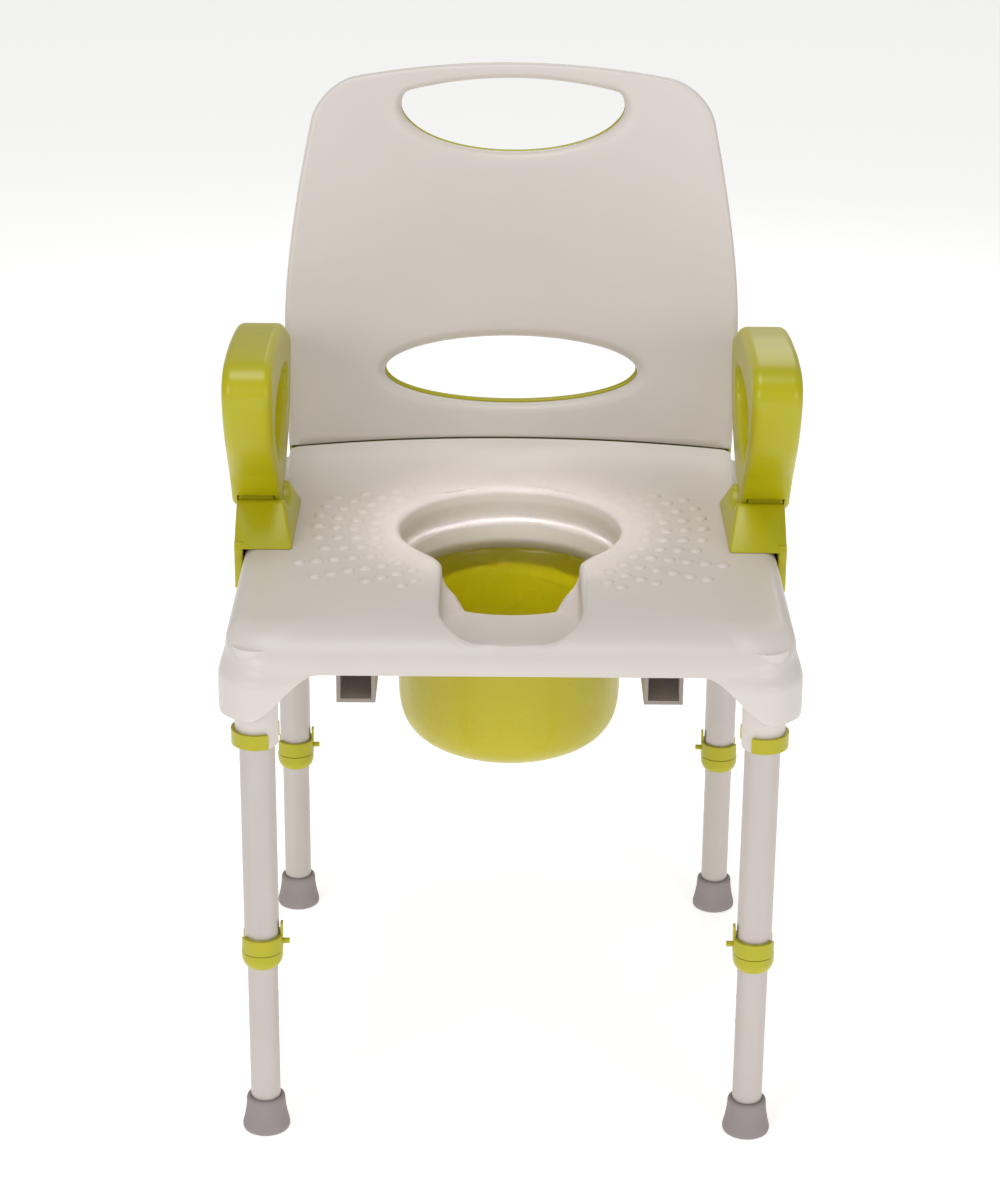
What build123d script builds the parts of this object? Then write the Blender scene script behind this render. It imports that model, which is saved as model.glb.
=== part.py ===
from build123d import *

import os
from math import asin, cos, degrees, radians, sin, sqrt

# Commode chair: moulded seat and back, lift-off armrests, slide-out bucket, telescopic legs.
# Millimetres, +Z up, the sitter faces -Y. The origin is on the floor, under the middle of the
# chair's bounding box. "left" is the -X side.

os.makedirs("parts", exist_ok=True)

# ---- driving dimensions: overall -------------------------------------------------------
mid_y = -30.0                   # middle of the leg rectangle, so that the box is centred on Y = 0
leg_half_x = 212.0              # leg axes, from the centre line
leg_half_y = 212.0              # leg axes, from mid_y
seat_top_z = 475.0
back_rise = 348.0               # seam to the top of the back, vertically
back_tilt = 9.8                 # degrees from vertical

# ---- driving dimensions: seat ----------------------------------------------------------
wall = 4.0                      # moulded wall
seat_half_x = 237.0
seat_half_y = 236.0
skirt_drop = 31.0               # deck top to the lower edge of the skirt
deck_round = 15.0
corner_round = 28.0
seam_y = mid_y + 205.0          # seam between seat and back, on the centre line
seam_rise = 28.0                # seam above the deck
seam_half_x = 208.0
seam_sagitta = 31.0             # how far the seam comes forward at the sides
sweep_run = 78.0                # length over which the deck sweeps up to the seam

# ---- driving dimensions: opening and splash notch --------------------------------------
hole_y = mid_y + 40.0
hole_r = 100.0
well_drop = 57.0                # deck top to the bottom of the well wall
notch_half_x = 60.0
notch_front_y = mid_y - 208.0
notch_lip_y = mid_y - 84.0      # front edge of the through opening
notch_front_drop = 13.0
notch_lip_drop = 35.0

# ---- driving dimensions: corner aprons and leg sockets ---------------------------------
apron_half = 29.5               # half side of the rounded apron round each leg
apron_drop = 72.0               # deck top to the apron's lower edge
socket_wall = 3.2
socket_drop = 103.0             # deck top to the socket's lower end

# ---- driving dimensions: legs ----------------------------------------------------------
tube_r = 15.0
tube_wall = 1.5
tube_fit = 0.1                  # radial play of the tube in its socket
snug = 0.05                     # radial play of rings, collars, feet and screws on what they grip
tube_top_gap = 16.0             # tube's upper end below the deck top
ext_fit = 0.5                   # radial play of the sliding tube in the outer one
ext_wall = 1.5
ext_length = 300.0
ext_base_z = 6.0                # lower end of the extension, inside the foot
ext_play = 0.3                  # radial play in the collar
hole_pitch = 25.0
peg_r = 2.5
collar_z = {"front": 163.0, "rear": 155.0}
collar_height = 13.5
collar_wall = 2.8
collar_lip = 1.6
collar_lap = 9.0                # tube inside the collar
ring_gap = 1.0
ring_height = 14.0
ring_wall = 3.3
ring_mouth = 50.0               # degrees of the ring left open
peg_reach = 5.5                 # peg beyond the ring
tab_height = 11.0
tab_width = 7.0
tab_thick = 2.0
peg_stop = 0.3                  # peg ends this far short of the inner tube
peg_fit = 0.1                   # radial play of the peg in its holes
band_height = 13.0
band_lift = 1.5                 # band above the socket's lower end
band_wall = 3.3
foot_height = 32.0
foot_wall = 4.0
foot_flare = 3.8
foot_rim = 2.5

# ---- driving dimensions: back ----------------------------------------------------------
back_skin = 3.5
back_front_depth = 12.0
back_depth = 30.0
back_low_half = 209.0
back_mid_half = 213.0
back_top_half = 181.0
back_arch = 20.0                # top edge, centre above corners
back_corner_r = 26.0
seam_gap = 1.2
back_tail = 40.0               # the rear cover's reach below the seam, before it is cut level
slot_half = 105.0
slot_top = 14.0                 # handle slot below the top of the back
slot_height = 68.0
oval_half = 120.0
oval_height = 64.0
oval_centre = 65.0              # lower oval above the seam

# ---- driving dimensions: armrests and brackets -----------------------------------------
arm_in = 206.0
arm_out = 250.0
arm_edge = 6.0
foot_eye_y = mid_y + 38.0       # centre of the armrest's round lower end
foot_eye_z = 520.0
foot_eye_r = 25.0
ear_top_z = 526.0
ear_half_y = 19.0
cheek = 5.0
ear_play = 0.4
bracket_in = 194.0
bracket_out = 245.0
bracket_front_y = mid_y - 30.0
bracket_rear_y = mid_y + 104.0
bracket_skirt_z = 441.0
skirt_gap = 0.4                 # between the bracket and the seat's side
saddle_z = 494.0                # top of the bracket's saddle, under the armrest's cheeks
saddle_slope = 30.0
ear_round = 4.0
arm_top_z = 653.0

# ---- driving dimensions: rails, bucket, screws -----------------------------------------
rail_in = 117.0
rail_out = 151.0
rail_low_z = 365.0
rail_wall = 3.5
rail_front_y = mid_y - 112.0
rail_rear_y = mid_y + 178.0
rail_seat_z = 411.0             # inner wall top, which carries the bucket's flange
rail_flange = 14.0
boss_r = 5.0
boss_drop = 20.0
web_thick = 3.0
web_lift = 10.0
bucket_r = 104.0
bucket_foot_r = 60.0
bucket_floor_z = 262.0
bucket_wall = 2.6
bucket_turn = 50.0
flange_r = 128.0
flange_thick = 3.0
flange_play = 0.3
bucket_dome = 6.0
gusset_drop = 40.0
screw_length = 12.0
shell_screw_length = 14.0
back_boss = 16.0
head_stand = 1.0                # flat heads and posts stand off the curved wall by this
hole_below = 3                  # adjusting holes below the one in use
hole_above = 3
screw_clear = 0.3               # radial play of a screw in the piece it holds down
screw_r = 2.0
screw_head_r = 3.6
screw_head = 2.2

# ---- worked out ------------------------------------------------------------------------
skirt_z = seat_top_z - skirt_drop
under_z = seat_top_z - wall
well_z = seat_top_z - well_drop
apron_z = seat_top_z - apron_drop
socket_z = seat_top_z - socket_drop
seam_z = seat_top_z + seam_rise
tube_top_z = seat_top_z - tube_top_gap
ext_r = tube_r - tube_wall - ext_fit
socket_r = tube_r + socket_wall
collar_r = tube_r + collar_wall
collar_lip_r = ext_r + collar_lip
ring_r = tube_r + ring_wall
band_r = socket_r + band_wall
foot_neck_r = ext_r + foot_wall
foot_flare_r = foot_neck_r + foot_flare
seam_r = (seam_half_x**2 + seam_sagitta**2) / (2 * seam_sagitta)
seam_axis_y = seam_y - seam_r
sides = {"left": -1, "right": 1}
ends = {"front": -1, "rear": 1}
corners = [(sx, sy) for sy in (-1, 1) for sx in (-1, 1)]
tilt = radians(back_tilt)
rail_screw_at = [
    (sx * (rail_out + rail_flange / 2), y)
    for sx in (-1, 1)
    for y in (rail_front_y + 30, rail_rear_y - 30)
]
bracket_screw_at = [
    (sx * (bracket_in + 12), y)
    for sx in (-1, 1)
    for y in (bracket_front_y + 32, bracket_rear_y - 24)
]
back_screw_at = [(sx * x, seam_axis_y + sqrt(seam_r**2 - x**2) + 14) for sx in (-1, 1) for x in (60, 150)]


# ======================================================================= seat
with BuildSketch(Plane.XY.offset(skirt_z)) as deck_plan:
    with Locations((0, mid_y)):
        RectangleRounded(2 * seat_half_x, 2 * seat_half_y, corner_round)

with BuildSketch(Plane.XY.offset(skirt_z)) as pocket_plan:
    add(offset(deck_plan.sketch, amount=-wall, mode=Mode.PRIVATE))

with BuildPart() as pocket:
    add(pocket_plan.sketch)
    extrude(amount=under_z - skirt_z)
    fillet(pocket.edges().group_by(Axis.Z)[-1].group_by(Axis.Y)[0], deck_round - wall)

with BuildSketch(Plane.XY.offset(well_z)) as opening_plan:
    with Locations((0, hole_y)):
        Circle(hole_r)
    tongue_run = hole_y - notch_lip_y - notch_half_x
    with Locations((0, hole_y - tongue_run / 2)):
        Rectangle(2 * notch_half_x, tongue_run)
    with Locations((0, notch_lip_y + notch_half_x)):
        Circle(notch_half_x)

with BuildSketch(Plane.XY.offset(well_z)) as notch_plan:
    notch_run = hole_y - notch_front_y
    with Locations((0, hole_y - notch_run / 2)):
        Rectangle(2 * notch_half_x, notch_run)
    fillet(notch_plan.vertices().group_by(Axis.Y)[0], notch_half_x * 0.75)

notch_slope = (notch_lip_drop - notch_front_drop) / (notch_lip_y - notch_front_y)


def notch_floor_z(y):
    """Height of the splash notch's sloping floor."""
    return seat_top_z - notch_front_drop - notch_slope * (y - notch_front_y)


floor_start_y = notch_front_y - wall
floor_end_y = hole_y

with BuildPart() as notch_space:
    with BuildSketch(Plane.YZ.offset(-notch_half_x)) as notch_side:
        with BuildLine():
            Polyline(
                (floor_start_y, notch_floor_z(floor_start_y)),
                (floor_end_y, notch_floor_z(floor_end_y)),
                (floor_end_y, seat_top_z + wall),
                (floor_start_y, seat_top_z + wall),
                close=True,
            )
        make_face()
    extrude(amount=2 * notch_half_x)
    add(extrude(notch_plan.sketch, amount=2 * well_drop, mode=Mode.PRIVATE), mode=Mode.INTERSECT)

with BuildPart() as notch_block:
    with BuildSketch(Plane.YZ.offset(-notch_half_x - wall)) as block_side:
        with BuildLine():
            Polyline(
                (floor_start_y, notch_floor_z(floor_start_y) - wall),
                (floor_end_y, notch_floor_z(floor_end_y) - wall),
                (floor_end_y, seat_top_z - wall / 2),
                (floor_start_y, seat_top_z - wall / 2),
                close=True,
            )
        make_face()
    extrude(amount=2 * (notch_half_x + wall))
    block_plan = offset(notch_plan.sketch, amount=wall, mode=Mode.PRIVATE)
    add(extrude(block_plan, amount=2 * well_drop, mode=Mode.PRIVATE), mode=Mode.INTERSECT)

# radial section of the sweep that carries the deck up to the seam, turned about the seam's axis
sweep_angle = degrees(asin(seam_half_x / seam_r))
sweep_plane = Plane((0, seam_axis_y, 0), x_dir=(0, 1, 0), z_dir=(1, 0, 0))
sweep_start = (seam_r - sweep_run, seat_top_z)
sweep_end = (seam_r - wall / 2, seam_z)
seam_axis = Axis((0, seam_axis_y, 0), (0, 0, 1))

with BuildPart() as sweep:
    with BuildSketch(sweep_plane) as sweep_section:
        with BuildLine():
            Spline(sweep_start, sweep_end, tangents=((1, 0), (0.35, 1)))
            Polyline(
                sweep_end,
                (seam_r, seam_z),
                (seam_r, skirt_z),
                (seam_r - wall, skirt_z),
                (seam_r - wall, under_z - wall),
                (seam_r - 2 * wall, under_z),
                (seam_r - sweep_run, under_z),
                sweep_start,
            )
        make_face()
    revolve(axis=seam_axis, revolution_arc=sweep_angle)
    mirror(about=Plane.YZ)

apron_in = apron_half - wall

with BuildPart() as seat:
    add(deck_plan.sketch)
    extrude(amount=seat_top_z - skirt_z)
    fillet(seat.edges().group_by(Axis.Z)[-1].group_by(Axis.Y)[0], deck_round)
    add(pocket.part, mode=Mode.SUBTRACT)
    add(sweep.part)
    add(notch_block.part)
    well_ring = offset(opening_plan.sketch, amount=wall, mode=Mode.PRIVATE)
    add(extrude(well_ring, amount=well_drop - wall / 2, mode=Mode.PRIVATE))
    add(extrude(opening_plan.sketch, amount=2 * well_drop, mode=Mode.PRIVATE), mode=Mode.SUBTRACT)
    add(notch_space.part, mode=Mode.SUBTRACT)
    # aprons, sockets and the webs between them, one set round each leg
    for sx, sy in corners:
        leg_x, leg_y = sx * leg_half_x, mid_y + sy * leg_half_y
        apron_x, apron_y = sx * (seat_half_x - apron_half), mid_y + sy * (seat_half_y - apron_half)
        with BuildSketch(Plane.XY.offset(apron_z)):
            with Locations((apron_x, apron_y)):
                RectangleRounded(2 * apron_half, 2 * apron_half, corner_round)
                RectangleRounded(2 * apron_in, 2 * apron_in, corner_round - wall, mode=Mode.SUBTRACT)
        extrude(amount=apron_drop - 2 * wall)
        with BuildSketch(Plane.XY.offset(apron_z + web_lift)):
            with Locations((leg_x, leg_y)):
                Rectangle(2 * (apron_half - 2 * wall), web_thick)
                Rectangle(web_thick, 2 * (apron_half - 2 * wall))
        extrude(amount=apron_drop - web_lift - wall / 2)
        with BuildSketch(Plane.XY.offset(socket_z)):
            with Locations((leg_x, leg_y)):
                Circle(socket_r)
        extrude(amount=socket_drop - wall / 2)
    # trim what the skirt round and the webs leave outside, then bore the sockets
    for sx, sy in corners:
        with BuildSketch(Plane.XY.offset(socket_z)):
            with Locations((sx * leg_half_x, mid_y + sy * leg_half_y)):
                Circle(tube_r + tube_fit)
        extrude(amount=tube_top_z + 1 - socket_z, mode=Mode.SUBTRACT)
    # bosses for the rail screws
    with Locations(*[(x, y, under_z - boss_drop / 2) for x, y in rail_screw_at]):
        Cylinder(boss_r, boss_drop)
    with Locations(*[(x, y, under_z - boss_drop / 2 - 1) for x, y in rail_screw_at]):
        Cylinder(screw_r + snug, boss_drop, mode=Mode.SUBTRACT)
    # clearance holes for the screws that come up into the brackets and the back
    with Locations(*[(x, y, under_z) for x, y in bracket_screw_at + back_screw_at]):
        Cylinder(screw_r + screw_clear, 4 * wall, mode=Mode.SUBTRACT)

seat.part.label = "seat"
export_step(seat.part, "parts/seat.step")

# ======================================================================= back
back_at = Vector(0, seam_y, seam_z)
up_slope = Vector(0, sin(tilt), cos(tilt))
face_plane = Plane(back_at, x_dir=(1, 0, 0), z_dir=(0, -cos(tilt), sin(tilt)))
band_plane = Plane(back_at, x_dir=(1, 0, 0), z_dir=up_slope)
back_length = back_rise / cos(tilt)
corner_v = back_length - back_arch


def back_outline(inset):
    """The back seen square on, with its two openings, drawn in by a wall's thickness."""
    side_v = back_length * 0.31
    top_v = corner_v - inset
    slot_v = back_length - slot_top
    shoulder_v = slot_v - slot_height * 0.2
    with BuildSketch(face_plane) as outline:
        with BuildLine():
            left_side = Spline(
                (inset - back_low_half, -back_tail),
                (inset - back_mid_half, side_v),
                (inset - back_top_half, top_v),
                tangents=((-0.03, 1), (0.22, 1)),
            )
            top = ThreePointArc(left_side @ 1, (0, back_length - inset), (back_top_half - inset, top_v))
            right_side = Spline(
                top @ 1,
                (back_mid_half - inset, side_v),
                (back_low_half - inset, -back_tail),
                tangents=((0.22, -1), (-0.03, -1)),
            )
            Line(right_side @ 1, left_side @ 0)
        make_face()
        fillet(outline.vertices().group_by(Axis.Z)[-1], back_corner_r - inset)
        with Locations((0, oval_centre)):
            Ellipse(oval_half + inset, oval_height / 2 + inset, mode=Mode.SUBTRACT)
        with BuildLine():
            half = slot_half + inset
            ThreePointArc((-half, shoulder_v), (0, slot_v + inset), (half, shoulder_v))
            Spline(
                (half, shoulder_v),
                (0, slot_v - slot_height - inset),
                (-half, shoulder_v),
                tangents=((0, -1), (0, 1)),
            )
        make_face(mode=Mode.SUBTRACT)
    return outline.sketch


back_face = back_outline(0)
back_core_face = back_outline(back_skin)
slab_reach = degrees(asin(1.2 * back_mid_half / seam_r))


def curved_slab(face, near, far):
    """The given face of the back, between two depths behind the back's front surface."""
    with BuildPart() as slab:
        with BuildSketch(band_plane.offset(-2 * back_tail)):
            with BuildLine():
                inner = CenterArc((0, -seam_r), seam_r + near, 90 - slab_reach, 2 * slab_reach)
                outer = CenterArc((0, -seam_r), seam_r + far, 90 - slab_reach, 2 * slab_reach)
                Line(inner @ 0, outer @ 0)
                Line(inner @ 1, outer @ 1)
            make_face()
        extrude(amount=back_length + 4 * back_tail)
    with BuildPart() as prism:
        extrude(face, amount=3 * back_depth, dir=face_plane.z_dir, both=True)
        add(slab.part, mode=Mode.INTERSECT)
    return prism.part


front_slab = curved_slab(back_face, 0, back_front_depth)
front_core = curved_slab(back_core_face, back_skin, back_front_depth + back_skin)
cover_slab = curved_slab(back_face, back_front_depth, back_depth)
cover_core = curved_slab(back_core_face, 0, back_depth - back_skin)
foot_slice = Pos(0, seam_y, seat_top_z + back_skin / 2) * Box(3 * back_mid_half, 2 * seam_y, back_skin)
cover_foot = cover_slab & foot_slice


shell_screw_at = [(sx * u, v) for u, v in ((150, 30), (172, 150), (158, 260)) for sx in (-1, 1)]


def bow(u, depth):
    """Place, along the face plane's normal, of the back's curve at a depth and a distance u."""
    return seam_r - sqrt((seam_r + depth) ** 2 - u**2)


under_cut = (Align.CENTER, Align.CENTER, Align.MAX)

with BuildPart() as back_shell:
    add(front_slab)
    add(front_core, mode=Mode.SUBTRACT)
    # posts that take the screws from the rear cover
    for u, v in shell_screw_at:
        with BuildSketch(face_plane.offset(bow(u, back_depth - back_skin) + head_stand)):
            with Locations((u, v)):
                Circle(boss_r)
                Circle(screw_r + snug, mode=Mode.SUBTRACT)
        extrude(amount=back_depth - 2 * back_skin)
    with Locations((0, seam_y, seam_z + seam_gap)):
        Box(3 * back_mid_half, 2 * seam_y, 3 * back_tail, align=under_cut, mode=Mode.SUBTRACT)

back_shell.part.label = "back_shell"
export_step(back_shell.part, "parts/back_shell.step")

with BuildPart() as back_cover:
    add(cover_slab)
    add(cover_core, mode=Mode.SUBTRACT)
    for u, v in shell_screw_at:
        with BuildSketch(face_plane.offset(bow(u, 2 * back_depth))):
            with Locations((u, v)):
                Circle(screw_r + screw_clear)
        extrude(amount=2 * back_depth, mode=Mode.SUBTRACT)
    with Locations((0, seam_y, seat_top_z)):
        Box(3 * back_mid_half, 2 * seam_y, 3 * back_tail, align=under_cut, mode=Mode.SUBTRACT)
    # closed foot of the cover, which stands on the seat's rear shelf
    add(cover_foot)
    for x, y in back_screw_at:
        with BuildSketch(Plane.XY.offset(seat_top_z)):
            with Locations((x, y)):
                Circle(boss_r + 1.5)
        extrude(amount=back_boss)
        with Locations((x, y, seat_top_z)):
            Cylinder(screw_r + snug, 2 * back_boss - wall, mode=Mode.SUBTRACT)

back_cover.part.label = "back_cover"
export_step(back_cover.part, "parts/back_cover.step")

with BuildPart() as shell_screws:
    for u, v in shell_screw_at:
        with BuildSketch(face_plane.offset(bow(u, back_depth) - head_stand)):
            with Locations((u, v)):
                Circle(screw_head_r)
        extrude(amount=-screw_head)
        with BuildSketch(face_plane.offset(bow(u, back_depth) - head_stand)):
            with Locations((u, v)):
                Circle(screw_r)
        extrude(amount=shell_screw_length)

shell_screws.part.label = "shell_screws"
export_step(shell_screws.part, "parts/shell_screws.step")


def screws_up(places, head_z, length):
    """Round-headed screws that point up from a level, as one group."""
    with BuildPart() as group:
        with Locations(*[(x, y, head_z - screw_head / 2) for x, y in places]):
            Cylinder(screw_head_r, screw_head)
        with Locations(*[(x, y, head_z + length / 2) for x, y in places]):
            Cylinder(screw_r, length)
    return group.part


for name, places, head_z in (
    ("back_screws", back_screw_at, under_z),
    ("bracket_screws", bracket_screw_at, under_z),
    ("rail_screws", rail_screw_at, under_z - boss_drop - rail_wall),
):
    screws = screws_up(places, head_z, screw_length)
    screws.label = name
    export_step(screws, f"parts/{name}.step")

# ======================================================================= legs
for end, sy in ends.items():
    for side, sx in sides.items():
        leg_x, leg_y = sx * leg_half_x, mid_y + sy * leg_half_y
        low_z = collar_z[end]
        tube_low_z = low_z + collar_height - collar_lap
        ring_z = low_z + collar_height + ring_gap
        peg_z = ring_z + ring_height / 2
        inward = Vector(-sx, 0, 0)
        peg_plane = Plane((leg_x, leg_y, peg_z), x_dir=(0, 1, 0), z_dir=inward)
        tag = f"{end}_{side}"

        with BuildPart() as leg_tube:
            with BuildSketch(Plane.XY.offset(tube_low_z)):
                with Locations((leg_x, leg_y)):
                    Circle(tube_r)
                    Circle(tube_r - tube_wall, mode=Mode.SUBTRACT)
            extrude(amount=tube_top_z - tube_low_z)
            with BuildSketch(peg_plane):
                Circle(peg_r + peg_fit)
            extrude(amount=2 * tube_r, mode=Mode.SUBTRACT)
        leg_tube.part.label = f"leg_tube_{tag}"
        export_step(leg_tube.part, f"parts/leg_tube_{tag}.step")

        with BuildPart() as leg_extension:
            with BuildSketch(Plane.XY.offset(ext_base_z)):
                with Locations((leg_x, leg_y)):
                    Circle(ext_r)
                    Circle(ext_r - ext_wall, mode=Mode.SUBTRACT)
            extrude(amount=ext_length)
            for step in range(-hole_below, hole_above + 1):
                with BuildSketch(Plane((leg_x, leg_y, peg_z + step * hole_pitch), z_dir=inward)):
                    Circle(peg_r + peg_fit)
                extrude(amount=2 * ext_r, mode=Mode.SUBTRACT)
        leg_extension.part.label = f"leg_extension_{tag}"
        export_step(leg_extension.part, f"parts/leg_extension_{tag}.step")

        leg_axis = Plane((leg_x, leg_y, 0), x_dir=(1, 0, 0), z_dir=(0, -1, 0))
        turn = Axis((leg_x, leg_y, 0), (0, 0, 1))
        with BuildPart() as leg_collar:
            with BuildSketch(leg_axis):
                with BuildLine():
                    Polyline(
                        (tube_r + snug, tube_low_z),
                        (ext_r + ext_play, tube_low_z),
                        (ext_r + ext_play, low_z),
                        (collar_lip_r, low_z),
                    )
                    ThreePointArc(
                        (collar_lip_r, low_z),
                        (collar_r - 0.9, low_z + collar_height * 0.3),
                        (collar_r, low_z + collar_height * 0.62),
                    )
                    Polyline(
                        (collar_r, low_z + collar_height * 0.62),
                        (collar_r, low_z + collar_height),
                        (tube_r + snug, low_z + collar_height),
                        (tube_r + snug, tube_low_z),
                    )
                make_face()
            revolve(axis=turn)
        leg_collar.part.label = f"leg_collar_{tag}"
        export_step(leg_collar.part, f"parts/leg_collar_{tag}.step")

        with BuildPart() as height_clip:
            with BuildSketch(Plane.XY.offset(ring_z)):
                with Locations((leg_x, leg_y)):
                    Circle(ring_r)
                    Circle(tube_r + snug, mode=Mode.SUBTRACT)
                with BuildLine():
                    half = radians(ring_mouth / 2)
                    reach = 2 * ring_r
                    Polyline(
                        (leg_x, leg_y),
                        (leg_x + sx * reach * cos(half), leg_y + reach * sin(half)),
                        (leg_x + sx * reach * cos(half), leg_y - reach * sin(half)),
                        close=True,
                    )
                make_face(mode=Mode.SUBTRACT)
            extrude(amount=ring_height)
            # finger tab above the ring, on the inner side
            with BuildSketch(Plane.XY.offset(ring_z + ring_height)):
                with Locations((leg_x - sx * (ring_r - 1), leg_y)):
                    Rectangle(tab_thick, tab_width)
            extrude(amount=tab_height)
            with BuildSketch(peg_plane.offset(ext_r + peg_stop)):
                Circle(peg_r)
            extrude(amount=ring_r + peg_reach - ext_r - peg_stop)
        height_clip.part.label = f"height_clip_{tag}"
        export_step(height_clip.part, f"parts/height_clip_{tag}.step")

        with BuildPart() as socket_clip:
            with BuildSketch(Plane.XY.offset(socket_z + band_lift)):
                with Locations((leg_x, leg_y)):
                    Circle(band_r)
                    Circle(socket_r + snug, mode=Mode.SUBTRACT)
                with BuildLine():
                    reach = 2 * band_r
                    Polyline(
                        (leg_x, leg_y),
                        (leg_x - sx * reach * 0.62, leg_y - reach),
                        (leg_x - sx * reach, leg_y - reach),
                        (leg_x - sx * reach, leg_y + reach * 0.62),
                        close=True,
                    )
                make_face(mode=Mode.SUBTRACT)
            extrude(amount=band_height)
        socket_clip.part.label = f"socket_clip_{tag}"
        export_step(socket_clip.part, f"parts/socket_clip_{tag}.step")

        with BuildPart() as foot:
            with BuildSketch(leg_axis):
                with BuildLine():
                    Polyline(
                        (0, 0),
                        (foot_flare_r - foot_rim, 0),
                        (foot_flare_r, foot_rim),
                        (foot_flare_r - 0.6, foot_rim * 3),
                    )
                    Spline(
                        (foot_flare_r - 0.6, foot_rim * 3),
                        (foot_neck_r, foot_height - foot_rim),
                        tangents=((-0.25, 1), (0, 1)),
                    )
                    Polyline(
                        (foot_neck_r, foot_height - foot_rim),
                        (foot_neck_r - 1, foot_height),
                        (ext_r + snug, foot_height),
                        (ext_r + snug, ext_base_z),
                        (0, ext_base_z),
                        (0, 0),
                    )
                make_face()
            revolve(axis=turn)
        foot.part.label = f"foot_{tag}"
        export_step(foot.part, f"parts/foot_{tag}.step")

# ======================================================================= rails and bucket
for side, sx in sides.items():
    with BuildPart() as rail:
        with BuildSketch(Plane.XZ.offset(-rail_front_y)):
            rail_top_z = under_z - boss_drop
            with BuildLine():
                Polyline(
                    (sx * rail_in, rail_seat_z),
                    (sx * rail_in, rail_low_z),
                    (sx * rail_out, rail_low_z),
                    (sx * rail_out, rail_top_z - rail_wall),
                    (sx * (rail_out + rail_flange), rail_top_z - rail_wall),
                    (sx * (rail_out + rail_flange), rail_top_z),
                    (sx * (rail_out - rail_wall), rail_top_z),
                    (sx * (rail_out - rail_wall), rail_low_z + rail_wall),
                    (sx * (rail_in + rail_wall), rail_low_z + rail_wall),
                    (sx * (rail_in + rail_wall), rail_seat_z),
                    close=True,
                )
            make_face()
        extrude(amount=-(rail_rear_y - rail_front_y))
        with BuildSketch(Plane.XZ.offset(-rail_front_y)):
            with BuildLine():
                Polyline(
                    (sx * rail_out, rail_top_z - rail_wall),
                    (sx * (rail_out + rail_flange), rail_top_z - rail_wall),
                    (sx * rail_out, rail_top_z - gusset_drop),
                    close=True,
                )
            make_face()
        extrude(amount=-rail_wall)
        rail_places = [(x, y, rail_top_z) for x, y in rail_screw_at if x * sx > 0]
        with Locations(*rail_places):
            Cylinder(screw_r + screw_clear, 3 * rail_wall, mode=Mode.SUBTRACT)
    rail.part.label = f"rail_{side}"
    export_step(rail.part, f"parts/rail_{side}.step")

flange_z = rail_seat_z + flange_play
with BuildPart() as bucket:
    with BuildSketch(Plane((0, hole_y, 0), x_dir=(1, 0, 0), z_dir=(0, -1, 0))):
        with BuildLine():
            Polyline((0, bucket_floor_z), (bucket_foot_r, bucket_floor_z + bucket_dome))
            Spline(
                (bucket_foot_r, bucket_floor_z + bucket_dome),
                (bucket_r - 2, bucket_floor_z + bucket_turn),
                tangents=((1, 0.18), (0.03, 1)),
            )
            Polyline(
                (bucket_r - 2, bucket_floor_z + bucket_turn),
                (bucket_r, flange_z),
                (flange_r, flange_z),
                (flange_r, flange_z + flange_thick),
                (0, flange_z + flange_thick),
                (0, bucket_floor_z),
            )
        make_face()
    revolve(axis=Axis((0, hole_y, 0), (0, 0, 1)))
    with BuildSketch(Plane((0, hole_y, 0), x_dir=(1, 0, 0), z_dir=(0, -1, 0))):
        with BuildLine():
            Polyline(
                (0, bucket_floor_z + bucket_wall),
                (bucket_foot_r, bucket_floor_z + bucket_dome + bucket_wall),
            )
            Spline(
                (bucket_foot_r, bucket_floor_z + bucket_dome + bucket_wall),
                (bucket_r - 2 - bucket_wall, bucket_floor_z + bucket_turn),
                tangents=((1, 0.18), (0.03, 1)),
            )
            Polyline(
                (bucket_r - 2 - bucket_wall, bucket_floor_z + bucket_turn),
                (bucket_r - bucket_wall, flange_z + 2 * flange_thick),
                (0, flange_z + 2 * flange_thick),
                (0, bucket_floor_z + bucket_wall),
            )
        make_face()
    revolve(axis=Axis((0, hole_y, 0), (0, 0, 1)), mode=Mode.SUBTRACT)
bucket.part.label = "bucket"
export_step(bucket.part, "parts/bucket.step")

# ======================================================================= brackets and armrests
eye = Vector(foot_eye_y, foot_eye_z)
ear_in = arm_in + cheek + ear_play
ear_out = arm_out - cheek - ear_play

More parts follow.
